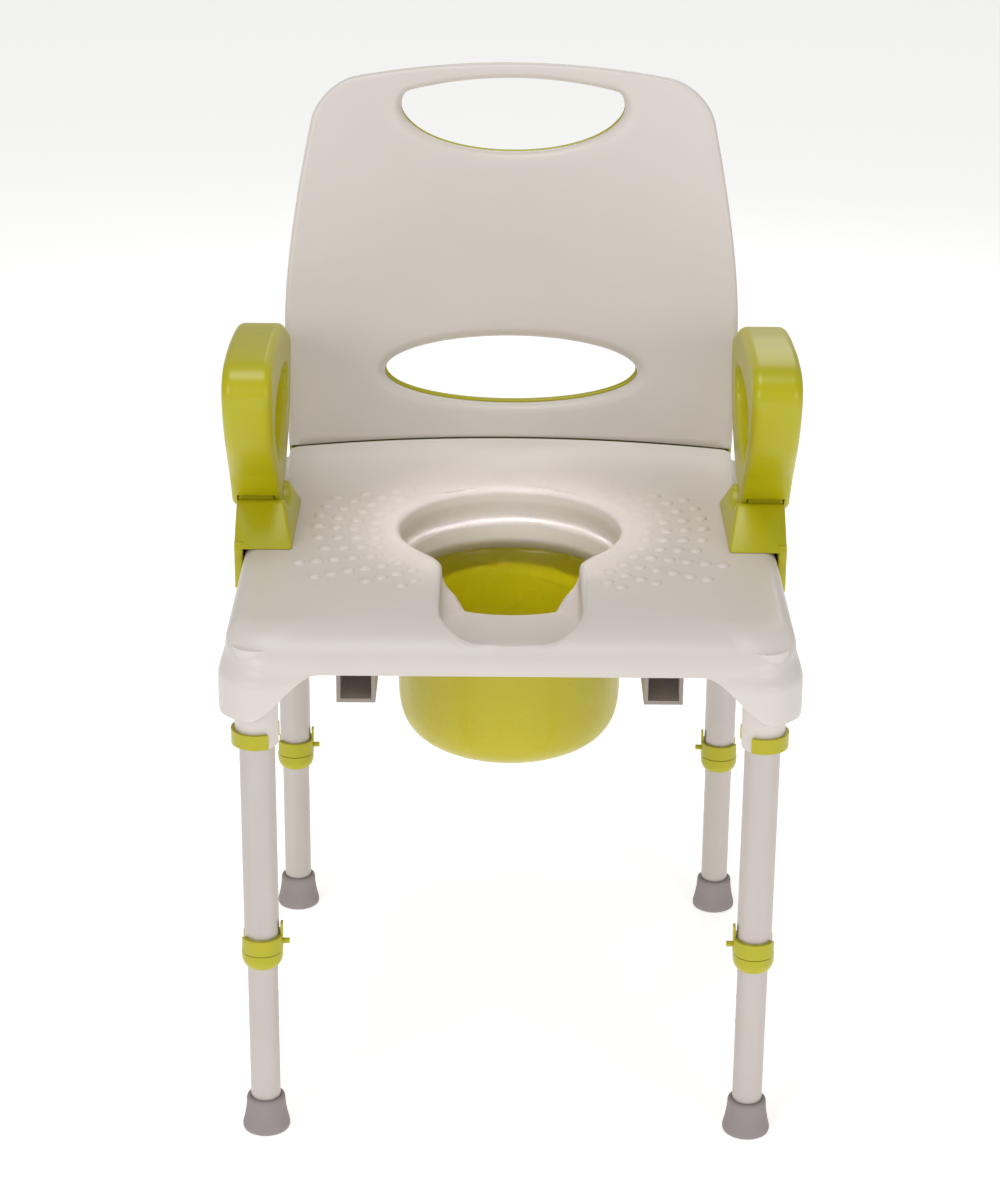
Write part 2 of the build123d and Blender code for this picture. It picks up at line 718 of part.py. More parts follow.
for side, sx in sides.items():
    with BuildPart() as arm_bracket:
        with BuildSketch(Plane.YZ.offset(sx * bracket_in)):
            with BuildLine():
                Polyline(
                    (bracket_front_y, seat_top_z),
                    (bracket_front_y + saddle_slope, saddle_z),
                    (bracket_rear_y - saddle_slope, saddle_z),
                    (bracket_rear_y, seat_top_z),
                    close=True,
                )
            make_face()
        extrude(amount=sx * (bracket_out - bracket_in))
        with BuildSketch(Plane.YZ.offset(sx * (seat_half_x + skirt_gap))):
            with BuildLine():
                Polyline(
                    (bracket_front_y, seat_top_z),
                    (bracket_front_y + saddle_slope / 2, bracket_skirt_z),
                    (bracket_rear_y - saddle_slope / 2, bracket_skirt_z),
                    (bracket_rear_y, seat_top_z),
                    close=True,
                )
            make_face()
        extrude(amount=sx * (bracket_out - seat_half_x - skirt_gap))
        with BuildSketch(Plane.XY.offset(saddle_z - 1)):
            with Locations((sx * (ear_in + ear_out) / 2, foot_eye_y)):
                Rectangle(ear_out - ear_in, 2 * ear_half_y)
        extrude(amount=ear_top_z - saddle_z + 1)
        fillet(arm_bracket.edges().group_by(Axis.Z)[-1], ear_round)
        with Locations(*[(x, y, seat_top_z) for x, y in bracket_screw_at if x * sx > 0]):
            Cylinder(screw_r + snug, 2 * screw_length - 3 * wall / 2, mode=Mode.SUBTRACT)
    arm_bracket.part.label = f"arm_bracket_{side}"
    export_step(arm_bracket.part, f"parts/arm_bracket_{side}.step")

    with BuildPart() as armrest:
        with BuildSketch(Plane.YZ.offset(sx * arm_in)):
            with BuildLine():
                toe = foot_eye_r * Vector(cos(radians(215)), sin(radians(215))) + eye
                heel = foot_eye_r * Vector(cos(radians(-55)), sin(radians(-55))) + eye
                ThreePointArc(heel, eye - Vector(0, foot_eye_r), toe)
                nose = Vector(mid_y - 57, arm_top_z - 17)
                Spline(toe, (mid_y - 23, foot_eye_z + 37), nose, tangents=((-0.75, 0.66), (-0.12, 1)))
                crown = Vector(mid_y - 42, arm_top_z - 4)
                ThreePointArc(nose, (mid_y - 53, arm_top_z - 8), crown)
                tail = Vector(mid_y + 168, arm_top_z - 32)
                Spline(crown, (mid_y + 20, arm_top_z - 1), tail, tangents=((1, 0.2), (1, -0.28)))
                tail_low = tail + Vector(8, -25)
                ThreePointArc(tail, tail + Vector(12, -10), tail_low)
                Spline(tail_low, heel, tangents=((-0.4, -1), (-0.82, -0.57)))
            make_face()
            with BuildLine():
                Spline(
                    (mid_y - 27, foot_eye_z + 66),
                    (mid_y + 1, foot_eye_z + 89),
                    (mid_y + 66, foot_eye_z + 91),
                    (mid_y + 126, foot_eye_z + 82),
                    (mid_y + 122, foot_eye_z + 54),
                    (mid_y + 66, foot_eye_z + 27),
                    (mid_y + 8, foot_eye_z + 19),
                    periodic=True,
                )
            make_face(mode=Mode.SUBTRACT)
        extrude(amount=sx * (arm_out - arm_in) / 2)
        fillet(armrest.faces().sort_by(Axis.X)[0 if sx > 0 else -1].outer_wire().edges(), arm_edge)
        mirror(about=Plane.YZ.offset(sx * (arm_in + arm_out) / 2))
        with BuildSketch(Plane.XY.offset(foot_eye_z - 2 * foot_eye_r)):
            with Locations((sx * (arm_in + arm_out) / 2, foot_eye_y)):
                Rectangle(arm_out - arm_in - 2 * cheek, 2 * (ear_half_y + ear_play))
        extrude(amount=2 * foot_eye_r + ear_top_z + ear_play - foot_eye_z, mode=Mode.SUBTRACT)
    armrest.part.label = f"armrest_{side}"
    export_step(armrest.part, f"parts/armrest_{side}.step")
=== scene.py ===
from math import atan2, ceil, cos, degrees, hypot, pi, radians, sin, sqrt

import bmesh
import bpy
from mathutils import Matrix, Vector
from mathutils.geometry import delaunay_2d_cdt, interpolate_bezier


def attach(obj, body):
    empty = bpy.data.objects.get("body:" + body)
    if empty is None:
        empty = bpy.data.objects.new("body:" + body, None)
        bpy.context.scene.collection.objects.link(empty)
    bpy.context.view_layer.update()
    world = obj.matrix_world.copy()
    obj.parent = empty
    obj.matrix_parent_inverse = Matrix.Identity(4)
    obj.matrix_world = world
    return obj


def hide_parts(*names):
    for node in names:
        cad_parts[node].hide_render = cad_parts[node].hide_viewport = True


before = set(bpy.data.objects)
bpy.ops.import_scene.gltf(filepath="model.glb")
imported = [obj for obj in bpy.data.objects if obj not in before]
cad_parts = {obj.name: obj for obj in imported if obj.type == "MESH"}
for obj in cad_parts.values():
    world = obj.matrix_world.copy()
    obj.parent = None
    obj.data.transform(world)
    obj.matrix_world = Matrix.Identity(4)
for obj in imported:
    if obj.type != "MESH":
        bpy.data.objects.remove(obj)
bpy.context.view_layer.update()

mm = 0.001                                    # sizes below are in millimetres

chair = {
    "midY": -30.0,                            # middle of the leg rectangle
    "legHalf": 212.0,
    "deckZ": 475.0,
    "holeY": 10.0,
    "seamY": 175.0,
    "seamZ": 503.0,
    "seamRadius": (208.0 ** 2 + 31.0 ** 2) / (2 * 31.0),
    "tilt": radians(9.8),
}
sides = {"left": -1, "right": 1}
ends = {"front": -1, "rear": 1}


# ------- numbers and lines
def smooth(low, high, value):
    t = min(max((value - low) / (high - low), 0.0), 1.0)
    return t * t * (3 - 2 * t)


def lerp(a, b, t):
    return a + (b - a) * t


def roundBox(x, y, box):
    # signed distance to a rounded rectangle
    halfX, halfY = box["halfX"] - box["round"], (box["high"] - box["low"]) / 2 - box["round"]
    dx, dy = abs(x) - halfX, abs(y - (box["high"] + box["low"]) / 2) - halfY
    return hypot(max(dx, 0), max(dy, 0)) + min(max(dx, dy), 0) - box["round"]


def smoothUnion(a, b, soft):
    h = min(max(0.5 + 0.5 * (b - a) / soft, 0), 1)
    return lerp(b, a, h) - soft * h * (1 - h)


def reach(angle, distance, far):
    # how far a ray from the middle of the opening runs inside a shape
    low, high = 0.0, far
    for _ in range(36):
        middle = (low + high) / 2
        if distance(middle * cos(angle), chair["holeY"] + middle * sin(angle)) < 0:
            low = middle
        else:
            high = middle
    return low


def throughPoints(points, spacing):
    # closed smooth line through the points, as places an even distance apart
    line, count = [], len(points)
    for i in range(count):
        before, a, b, after = (Vector(points[(i + k) % count]).to_3d() for k in (-1, 0, 1, 2))
        run = (b - a).length
        fromA = (b - before).normalized() * run / 3
        intoB = (after - a).normalized() * run / 3
        line += interpolate_bezier(a, a + fromA, b - intoB, b, 24)[:-1]
    return evenly(line, spacing)


def evenly(line, spacing):
    # the same closed line, cut into steps of one length
    runs = [(b - a).length for a, b in zip(line, line[1:] + line[:1])]
    count = max(12, round(sum(runs) / spacing))
    step, walked, i, out = sum(runs) / count, 0.0, 0, []
    for k in range(count):
        while walked + runs[i] < k * step:
            walked += runs[i]
            i += 1
        t = (k * step - walked) / runs[i]
        out.append(line[i].lerp(line[(i + 1) % len(line)], t).to_2d())
    return out


def outward(loop):
    # unit normals of a closed line, pointing to its right hand side
    normals = []
    for i, here in enumerate(loop):
        along = loop[(i + 1) % len(loop)] - loop[i - 1]
        normals.append(Vector((along.y, -along.x)).normalized())
    return normals


def turnsLeft(loop):
    return sum(a.cross(b) for a, b in zip(loop, loop[1:] + loop[:1])) > 0


def grown(loop, amounts):
    if isinstance(amounts, float):
        amounts = [amounts] * len(loop)
    return [p + n * amount for p, n, amount in zip(loop, outward(loop), amounts)]


def inside(p, loop):
    hit = False
    for a, b in zip(loop, loop[1:] + loop[:1]):
        if (a.y > p.y) != (b.y > p.y) and p.x < (b.x - a.x) * (p.y - a.y) / (b.y - a.y) + a.x:
            hit = not hit
    return hit


# ------- meshes
def nextRing(bm, ring, places):
    # one more row of faces along a closed ring of vertices
    edges = [bm.edges.get((a, b)) for a, b in zip(ring, ring[1:] + ring[:1])]
    made = bmesh.ops.extrude_edge_only(bm, edges=edges)["geom"]
    fresh = {v for v in made if isinstance(v, bmesh.types.BMVert)}
    row = []
    for old, place in zip(ring, places):
        new = next(e.other_vert(old) for e in old.link_edges if e.other_vert(old) in fresh)
        new.co = place
        row.append(new)
    return row


def plate(bm, outer, openings, spacing):
    # flat skin between an outline and its openings, evenly divided; gives back the border rings
    loops = [outer] + openings
    points, borders = [], []
    for loop in loops:
        start = len(points)
        points += loop
        borders += [(start + i, start + (i + 1) % len(loop)) for i in range(len(loop))]
    low = Vector((min(p.x for p in outer), min(p.y for p in outer)))
    high = Vector((max(p.x for p in outer), max(p.y for p in outer)))
    keepIn = grown(outer, -0.6 * spacing)
    keepOut = [grown(loop, 0.6 * spacing) for loop in openings]
    for row in range(ceil((high.y - low.y) / spacing)):
        for col in range(ceil((high.x - low.x) / spacing) + 1):
            p = low + Vector(((col + 0.5 * (row % 2)) * spacing, (row + 0.5) * spacing))
            if inside(p, keepIn) and not any(inside(p, loop) for loop in keepOut):
                points.append(p)
    made = delaunay_2d_cdt(points, borders, [], 0, 1e-7)
    verts = [bm.verts.new(p.to_3d()) for p in made[0]]
    for face in made[2]:
        middle = sum((made[0][i] for i in face), Vector((0, 0))) / len(face)
        if inside(middle, outer) and not any(inside(middle, loop) for loop in openings):
            bm.faces.new([verts[i] for i in face])
    placeOf = {source: i for i, sources in enumerate(made[3]) for source in sources}
    rings, start = [], 0
    for loop in loops:
        rings.append([verts[placeOf[start + i]] for i in range(len(loop))])
        start += len(loop)
    return rings


def raisedFace(bm, face):
    # pulls a face up on new side walls and gives it back
    made = bmesh.ops.extrude_face_region(bm, geom=[face])["geom"]
    bmesh.ops.delete(bm, geom=[face], context="FACES_ONLY")
    return next(item for item in made if isinstance(item, bmesh.types.BMFace))


def spun(bm, profile, middle, steps):
    # closed or open section, as (radius, height), turned once round a vertical line
    verts = [bm.verts.new((middle[0] + r, middle[1], z)) for r, z in profile]
    edges = [bm.edges.new(pair) for pair in zip(verts, verts[1:])]
    bmesh.ops.spin(bm, geom=verts + edges, cent=(middle[0], middle[1], 0), axis=(0, 0, 1),
                   dvec=(0, 0, 0), angle=2 * pi, steps=steps, use_merge=True)
    bmesh.ops.remove_doubles(bm, verts=bm.verts[:], dist=1e-4)


def block(bm, low, high):
    # box between two corners; gives back its corners
    middle = [(a + b) / 2 for a, b in zip(low, high)]
    size = [b - a for a, b in zip(low, high)]
    matrix = Matrix.Translation(middle) @ Matrix.Diagonal(size + [1])
    return bmesh.ops.create_cube(bm, size=1, matrix=matrix)["verts"]


def softened(bm, verts, amount, segments=3):
    edges = {e for v in verts for e in v.link_edges}
    bmesh.ops.bevel(bm, geom=list(edges), offset=amount, segments=segments, profile=0.5,
                    affect="EDGES", material=-1)


def piece(name, bm, body, material, nodes=(), sharp=40, outwardFaces=True):
    # finishes a piece: metres, smooth shading, material, body and what it stands for
    bmesh.ops.scale(bm, vec=(mm, mm, mm), verts=bm.verts[:])
    bmesh.ops.remove_doubles(bm, verts=bm.verts[:], dist=1e-6)
    if outwardFaces:
        bmesh.ops.recalc_face_normals(bm, faces=bm.faces[:])
    for face in bm.faces:
        face.smooth = True
    for edge in bm.edges:
        if len(edge.link_faces) == 2 and degrees(edge.calc_face_angle(0)) > sharp:
            edge.smooth = False
    mesh = bpy.data.meshes.new(name)
    bm.to_mesh(mesh)
    bm.free()
    made = bpy.data.objects.new(name, mesh)
    bpy.context.scene.collection.objects.link(made)
    mesh.materials.append(material)
    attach(made, body)
    if nodes:
        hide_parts(*nodes)
    return made


def walled(made, thickness):
    wall = made.modifiers.new("wall", "SOLIDIFY")
    wall.thickness = thickness * mm
    wall.offset = -1
    wall.use_even_offset = False
    wall.use_rim = True


# ------- materials
def toLinear(hexColour):
    channels = [int(hexColour[i:i + 2], 16) / 255 for i in (1, 3, 5)]
    return [c / 12.92 if c <= 0.04045 else ((c + 0.055) / 1.055) ** 2.4 for c in channels] + [1.0]


def addNode(tree, kind, settings=None, values=None, links=None):
    made = tree.nodes.new(kind)
    for name, value in (settings or {}).items():
        setattr(made, name, value)
    for socket, value in (values or {}).items():
        made.inputs[socket].default_value = value
    for socket, source in (links or {}).items():
        tree.links.new(source, made.inputs[socket])
    return made


grainDepth = 0.05


def moulded(name, look):
    # fine skin, faint cloudiness in the colour, and gloss that wanders from place to place
    material = bpy.data.materials.new(name)
    material.use_nodes = True
    tree = material.node_tree
    tree.nodes.clear()
    where = addNode(tree, "ShaderNodeTexCoord").outputs["Object"]
    cloud = addNode(tree, "ShaderNodeTexNoise",
                    values={"Scale": 1 / (look["cloud"] * mm), "Detail": 3.0, "Roughness": 0.55},
                    links={"Vector": where})
    colour = addNode(tree, "ShaderNodeMix", {"data_type": "RGBA"},
                     {6: toLinear(look["dark"]), 7: toLinear(look["light"])}, {0: cloud.outputs["Fac"]})
    skinAt = where
    if look.get("brushed"):
        # drawn tube: lines along its length, so the pattern is stretched in Z
        skinAt = addNode(tree, "ShaderNodeMapping", values={"Scale": (1.0, 1.0, look["brushed"])},
                         links={"Vector": where}).outputs["Vector"]
    skin = addNode(tree, "ShaderNodeTexNoise",
                   values={"Scale": 1 / (look["grain"] * mm), "Detail": 2.0, "Roughness": 0.6},
                   links={"Vector": skinAt})
    gloss = addNode(tree, "ShaderNodeMapRange", values={"To Min": look["gloss"][0], "To Max": look["gloss"][1]},
                    links={"Value": addNode(tree, "ShaderNodeTexNoise",
                                            values={"Scale": 1 / (look["smear"] * mm), "Detail": 4.0},
                                            links={"Vector": skinAt}).outputs["Fac"]})
    bump = addNode(tree, "ShaderNodeBump", values={"Strength": look["depth"], "Distance": grainDepth * mm},
                   links={"Height": skin.outputs["Fac"]})
    shader = addNode(tree, "ShaderNodeBsdfPrincipled",
                     values={"Metallic": look.get("metallic", 0.0), "IOR": look.get("ior", 1.5)},
                     links={"Base Color": colour.outputs[2], "Roughness": gloss.outputs[0],
                            "Normal": bump.outputs["Normal"]})
    addNode(tree, "ShaderNodeOutputMaterial", links={"Surface": shader.outputs["BSDF"]})
    return material


finishes = {
    # polypropylene, satin from the mould: light falls off softly, small blurred highlights
    "greyPolypropylene": {"light": "#d9d2cc", "dark": "#d3cbc5", "cloud": 90, "grain": 1.6, "smear": 28,
                          "gloss": (0.33, 0.43), "depth": 0.10, "ior": 1.49},
    # the same in lime, from a shinier mould: crisper highlights along the rounded edges
    "limePolypropylene": {"light": "#b6b00c", "dark": "#b0a909", "cloud": 70, "grain": 1.6, "smear": 25,
                          "gloss": (0.27, 0.36), "depth": 0.08, "ior": 1.49},
    # the bucket's lime is a shade deeper and smoother
    "limeBucketPolypropylene": {"light": "#bdb210", "dark": "#b5aa0c", "cloud": 80, "grain": 1.8, "smear": 30,
                                "gloss": (0.24, 0.32), "depth": 0.08, "ior": 1.49},
    # rails: the same grey plastic, its colour painted darker for the shade under the seat, with a duller,
    # coarser skin
    "shadedGreyRailPolypropylene": {"light": "#a69d96", "dark": "#9b928b", "cloud": 60, "grain": 2.0, "smear": 20,
                              "gloss": (0.42, 0.52), "depth": 0.14, "ior": 1.49},
    # drawn aluminium tube, satin anodised: broad soft highlight, faint lines along the tube
    "anodisedAluminium": {"light": "#c6bfba", "dark": "#bcb4af", "cloud": 60, "grain": 1.2, "smear": 6,
                          "gloss": (0.38, 0.50), "depth": 0.10, "metallic": 0.75, "brushed": 0.03, "ior": 1.5},
    # ferrule rubber: matt, slightly dusty
    "greyRubber": {"light": "#9b9191", "dark": "#918787", "cloud": 14, "grain": 1.5, "smear": 6,
                   "gloss": (0.58, 0.74), "depth": 0.22, "ior": 1.52},
    # zinc plated steel screws
    "zincSteel": {"light": "#c4c6c8", "dark": "#b4b6b8", "cloud": 6, "grain": 1.2, "smear": 3,
                  "gloss": (0.28, 0.42), "depth": 0.10, "metallic": 1.0, "ior": 1.5},
}
finish = {name: moulded(name, look) for name, look in finishes.items()}
print("materials made")

# ------- camera and light
cameraSizes = {"at": (-12.70, -2420.71, 1367.91), "to": (-9.0, -30.0, 422.4), "roll": 0.472, "lens": 86.33}
eye, target = Vector(cameraSizes["at"]) * mm, Vector(cameraSizes["to"]) * mm
ahead = (target - eye).normalized()
right = ahead.cross(Vector((0, 0, 1))).normalized()
up = right.cross(ahead)
roll = radians(cameraSizes["roll"])
tiltedRight, tiltedUp = right * cos(roll) + up * sin(roll), up * cos(roll) - right * sin(roll)
lensData = bpy.data.cameras.new("camera")
lensData.lens, lensData.sensor_width = cameraSizes["lens"], 36.0
camera = bpy.data.objects.new("camera", lensData)
bpy.context.scene.collection.objects.link(camera)
camera.matrix_world = Matrix((
    (tiltedRight.x, tiltedUp.x, -ahead.x, eye.x),
    (tiltedRight.y, tiltedUp.y, -ahead.y, eye.y),
    (tiltedRight.z, tiltedUp.z, -ahead.z, eye.z),
    (0, 0, 0, 1),
))
bpy.context.scene.camera = camera
bpy.context.scene.view_settings.view_transform = "Standard"

lamps = {
    # name: place, what it points at, side in metres, watts, spread in degrees
    "keySoftbox": ((-1.5, -2.6, 1.7), (0, 0, 0.5), 1.2, 22, 180),
    "fillSoftbox": ((1.7, -2.5, 1.4), (0, 0, 0.5), 1.2, 16, 180),
    "overhead": ((-0.3, -0.2, 2.9), (0, 0, 0.4), 1.2, 19, 180),
    # a narrow beam through the seat's opening into the bucket
    "openingLight": ((-0.05, -0.55, 2.2), (0, 0.03, 0.40), 0.1, 0.12, 8),
    "rearSoftbox": ((0.4, 2.4, 1.8), (0, 0, 0.5), 1.4, 8, 180),
}
for name, (place, aim, size, watts, spread) in lamps.items():
    lampData = bpy.data.lights.new(name, "AREA")
    lampData.shape, lampData.size, lampData.energy, lampData.spread = "SQUARE", size, watts, radians(spread)
    lamp = bpy.data.objects.new(name, lampData)
    lamp.location = place
    lamp.rotation_mode = "QUATERNION"
    lamp.rotation_quaternion = (Vector(aim) - Vector(place)).to_track_quat("-Z", "Y")
    bpy.context.scene.collection.objects.link(lamp)

world = bpy.data.worlds.new("studio")
bpy.context.scene.world = world
world.use_nodes = True
backdrop = {"colour": "#fbfaf8", "strength": 0.40}
world.node_tree.nodes["Background"].inputs["Color"].default_value = toLinear(backdrop["colour"])
world.node_tree.nodes["Background"].inputs["Strength"].default_value = backdrop["strength"]

studioFloor = {"half": 12.0, "colour": "#fafafa", "roughness": 0.9, "glow": 0.50}
floorMesh = bmesh.new()
bmesh.ops.create_grid(floorMesh, x_segments=2, y_segments=2, size=studioFloor["half"])
floorData = bpy.data.meshes.new("floor")
floorMesh.to_mesh(floorData)
floorMesh.free()
floorPiece = bpy.data.objects.new("floor", floorData)
bpy.context.scene.collection.objects.link(floorPiece)
floorMaterial = bpy.data.materials.new("studioFloor")
floorMaterial.use_nodes = True
floorShader = floorMaterial.node_tree.nodes["Principled BSDF"]
floorShader.inputs["Base Color"].default_value = toLinear(studioFloor["colour"])
floorShader.inputs["Roughness"].default_value = studioFloor["roughness"]
floorShader.inputs["Specular IOR Level"].default_value = 0.0
floorShader.inputs["Emission Color"].default_value = toLinear("#ffffff")
floorShader.inputs["Emission Strength"].default_value = studioFloor["glow"]
floorData.materials.append(floorMaterial)
print("camera, light and floor set")

# ------- seat
seat = {
    "columns": 480,
    "edge": {"halfX": 237.0, "low": -266.0, "high": 206.0, "round": 36.0},
    "notch": {"halfX": 60.0, "turnY": -185.0, "low": -254.0, "square": 2.3},
    "lip": {"halfX": 57.5, "turnY": -68.0, "low": -121.0, "square": 2.0},
    "holeRadius": 100.0,
    "cusp": 16.0,                              # softness where the notch meets the round opening
    "wellZ": 418.0,
    "stepZ": 445.0,
    "shelfZ": 452.0,                           # where the upper wall starts when there is no notch
    "floorFront": 463.0,
    "floorSlope": -0.177,
    "frontRoll": 60.0,
    "frontDrop": 29.0,
    "sideRoll": 14.0,
    "rearRoll": 6.0,
    "skirtZ": 444.0,
    "petalZ": 403.0,
    "petalFrom": 160.0,                        # the skirt dips to the corner petal over this stretch
    "petalTo": 214.0,
    "bulge": 8.0,
    "bulgeFrom": 150.0,
    "bulgeTo": 222.0,
    "foldLow": 434.0,                          # the bulge is full below this
    "foldHigh": 446.0,
    "rollPower": 2.2,                          # 2 is a round front edge, more is fuller
    "shareWidth": 62.0,                        # a gap this wide counts wholly as the notch's floor
    "floorBowl": 3.0,
    "rearShelfZ": 462.0,
    "wall": 3.4,
    "rimRun": 12.5,
    "rimDrop": 6.0,
    "groove": 0.35,
}


def tongue(x, y, shape):
    # distance to a strip with parallel sides and a rounded front end
    if y > shape["turnY"]:
        return abs(x) - shape["halfX"]
    across, along = abs(x) / shape["halfX"], (shape["turnY"] - y) / (shape["turnY"] - shape["low"])
    power = shape["square"]
    return ((across ** power + along ** power) ** (1 / power) - 1) * shape["halfX"]


def opening(x, y, shape):
    circle = hypot(x, y - chair["holeY"]) - seat["holeRadius"]
    return smoothUnion(circle, max(tongue(x, y, shape), y - chair["holeY"]), seat["cusp"])


def keyhole(x, y):
    return opening(x, y, seat["notch"])


def throughHole(x, y):
    return opening(x, y, seat["lip"])


def seatColumn(angle):
    # the seat's section along one ray from the middle of its opening, as (distance, height) pairs
    dx, dy = cos(angle), sin(angle)
    inner = reach(angle, throughHole, 400)
    rim = max(reach(angle, keyhole, 400), inner)
    outer = reach(angle, lambda x, y: roundBox(x, y, seat["edge"]), 600)
    ex, ey = outer * dx, chair["holeY"] + outer * dy
    nx = roundBox(ex + 0.1, ey, seat["edge"]) - roundBox(ex - 0.1, ey, seat["edge"])
    ny = roundBox(ex, ey + 0.1, seat["edge"]) - roundBox(ex, ey - 0.1, seat["edge"])
    facing = max((nx * dx + ny * dy) / hypot(nx, ny), 0.3)
    ny /= hypot(nx, ny)
    roll = seat["sideRoll"] + max(-ny, 0) * (seat["frontRoll"] - seat["sideRoll"])
    roll -= max(ny, 0) * (seat["sideRoll"] - seat["rearRoll"])
    run = roll / facing
    flatEnd = outer - run
    drop = seat["sideRoll"] + max(-ny, 0) * (seat["frontDrop"] - seat["sideRoll"]) if ny < 0 else roll

    def deck(r):
        t = min(max((r - flatEnd) / run, 0), 1)
        return chair["deckZ"] - drop * (1 - sqrt(max(1 - t ** seat["rollPower"], 0)))

    def floor(r):
        return seat["floorFront"] + seat["floorSlope"] * (chair["holeY"] + r * dy - seat["notch"]["low"])

    gap = rim - inner
    share = smooth(0, seat["shareWidth"], gap)     # 0 at the round opening, 1 in the notch
    base = lerp(seat["shelfZ"], floor(inner), share)
    column = [
        (inner - 6.0, seat["wellZ"]),
        (inner - 5.6, seat["wellZ"] + 10),
        (inner - 5.2, lerp(seat["stepZ"], base, share) - 5),
        (inner - 4.6, lerp(seat["stepZ"] - 1.5, base - 3.4, share)),
        (inner - 3.4, lerp(seat["stepZ"] - 0.3, base - 2.0, share)),
        (inner - 1.8, lerp(seat["stepZ"], base - 1.0, share)),
        (inner - 0.9, lerp(seat["stepZ"] + 1.0, base - 0.4, share)),
        (inner - 0.6, lerp(seat["shelfZ"] - 3, base - 0.1, share)),
    ]
    for t in (0.02, 0.15, 0.35, 0.6, 0.85, 1.0):
        r = lerp(inner, rim, t)
        tuck = 1.4 * share if t == 1.0 else 0
        bowl = seat["floorBowl"] * share * smooth(0.55, 1.0, t) ** 2
        shelf = lerp(seat["shelfZ"], seat["rearShelfZ"], t)
        column.append((r - 0.4 - tuck, lerp(shelf, floor(r) + bowl, share)))
    wallLow, wallTop = column[-1][1], deck(rim)
    column.append((rim - 0.1 - 0.4 * share, lerp(wallLow, wallTop, 0.2)))
    # soft rim, then a hairline groove round it
    rimRun = min(seat["rimRun"], max(outer - rim - 6, 4))
    rimDrop = min(seat["rimDrop"], 0.75 * (wallTop - wallLow))
    for k in range(8):
        a = k / 7 * pi / 2
        r = rim + 0.3 + (rimRun - 1.6) * (1 - cos(a))
        column.append((r, deck(r) - rimDrop * (1 - sin(a))))
    r = rim + rimRun
    column += [(r, deck(r) - seat["groove"]), (r + 0.9, deck(r + 0.9))]
    start = r + 0.9
    rollStart = max(flatEnd, start + 0.5)
    for k in range(1, 17):
        r = lerp(start, rollStart, k / 16)
        column.append((r, deck(r)))
    for k in range(1, 13):
        r = lerp(rollStart, outer, sin(k / 12 * pi / 2))
        column.append((r, deck(r)))
    low = column[-1][1]
    a, b = abs(ex), abs(ey - chair["midY"])
    # the skirt dips into a petal at each corner, which also swells out round the leg
    petal = smooth(seat["petalFrom"], seat["petalTo"], a) * smooth(seat["petalFrom"], seat["petalTo"], b)
    bottom = lerp(seat["skirtZ"], seat["petalZ"], petal)
    near, full = seat["bulgeFrom"], seat["bulgeTo"]
    swell = seat["bulge"] * smooth(near, full, a) * smooth(near, full, b) / facing
    for k in range(1, 15):
        z = lerp(low, bottom, k / 14)
        out = swell * (1 - smooth(seat["foldLow"], max(low, seat["foldHigh"]), z))
        column.append((outer + 0.5 * k / 14 + out, z))
    column += [(outer + swell - 0.5, bottom - 0.7), (outer + swell - 2.2, bottom - 1.0)]
    return [Vector((r * dx, chair["holeY"] + r * dy, z)) for r, z in column]


columns = [seatColumn(2 * pi * i / seat["columns"]) for i in range(seat["columns"])]
bm = bmesh.new()
ring = bmesh.ops.create_circle(bm, segments=seat["columns"], radius=1)["verts"]
for vert, column in zip(ring, columns):
    vert.co = column[0]
for row in range(1, len(columns[0])):
    ring = nextRing(bm, ring, [column[row] for column in columns])
seatShell = piece("seatShell", bm, "chair", finish["greyPolypropylene"], ["seat"], 50)
walled(seatShell, seat["wall"])

# the deck's rear part, which curves up to the seam with the back
sweep = {"run": 78.0, "half": 214.0, "endRun": 9.0, "rise": 28.0, "acrossCount": 72, "alongCount": 20,
         "sink": 1.5, "rimGap": 15.0}
bm = bmesh.new()
bmesh.ops.create_grid(bm, x_segments=sweep["acrossCount"], y_segments=sweep["alongCount"], size=1)
for vert in bm.verts:
    x = vert.co.x * sweep["half"]
    s = (vert.co.y + 1) / 2
    arcY = chair["seamY"] - chair["seamRadius"] + sqrt(chair["seamRadius"] ** 2 - x * x)
    # the sweep starts behind the opening's rim
    rimY = chair["holeY"] + sqrt(max((seat["holeRadius"] + sweep["rimGap"]) ** 2 - x * x, 0))
    over = sweep["run"] - (arcY - rimY)
    run = sweep["run"] - smooth(0, 40, over) * max(over, 0)
    height = sweep["rise"] * (0.55 * s ** 2 + 0.45 * s ** 4)
    t = max(abs(x) - sweep["half"] + sweep["endRun"], 0) / sweep["endRun"]
    height *= sqrt(max(1 - t * t, 0))
    vert.co = (x, arcY - 0.6 - run * (1 - s), chair["deckZ"] - 0.12 + height)
border = [e for e in bm.edges if e.is_boundary]
made = bmesh.ops.extrude_edge_only(bm, edges=border)["geom"]
for vert in made:
    if isinstance(vert, bmesh.types.BMVert):
        vert.co.z = chair["deckZ"] - sweep["sink"]
bmesh.ops.holes_fill(bm, edges=[e for e in bm.edges if e.is_boundary], sides=0)
piece("seatSweep", bm, "chair", finish["greyPolypropylene"], (), 50)

